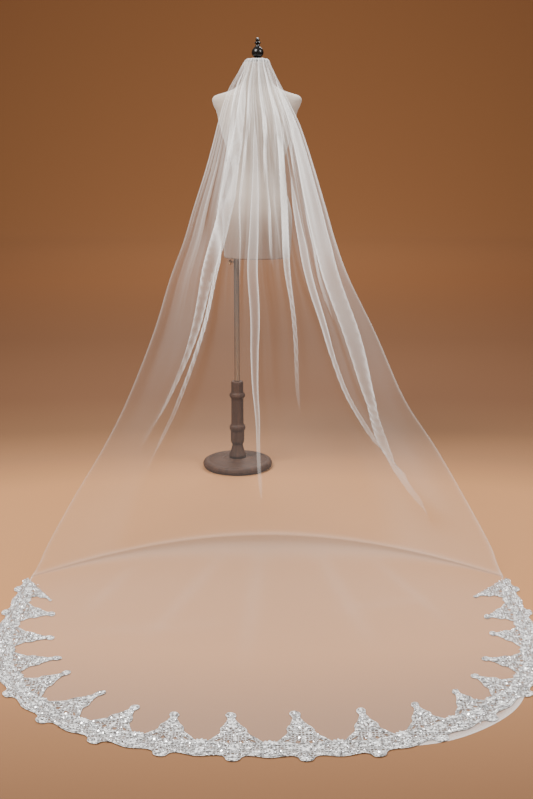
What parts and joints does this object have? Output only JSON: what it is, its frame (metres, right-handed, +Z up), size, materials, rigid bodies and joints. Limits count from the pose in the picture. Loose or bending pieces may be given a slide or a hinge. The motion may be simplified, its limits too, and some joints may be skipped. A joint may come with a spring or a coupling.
{
  "type": "bridal veil on a dress form",
  "caption": "Long sheer tulle veil with a scalloped floral lace hem, gathered at the neck of a limbless dress form on a turned stand, its train spread on the floor.",
  "frame": {"origin": "centre of the stand foot's underside, on the floor", "axes": "+Z up, the back of the form and the veil's train face -Y, +X to the right as seen from behind the form"},
  "size_m": [1.5096, 2.2966, 1.661],
  "materials": {
    "tulle": "sheer ivory net",
    "lace": "corded lace with a faint sparkle",
    "form_cover": "smooth cream jersey",
    "gloss_black": "gloss lacquer",
    "steel": "satin",
    "brass": "aged",
    "wood": "dark satin varnish"
  },
  "bodies": {
    "root": {"tulle_veil": "tulle", "veil_heading": "tulle", "lace_left": "lace", "lace_front": "lace", "lace_right": "lace", "torso": "form_cover", "neck_cap": "gloss_black", "finial": "gloss_black", "pole_socket": "steel", "stand_pole": "steel", "clamp_screw": "brass", "stand_column": "wood", "stand_foot": "wood"}
  },
  "joints": []
}
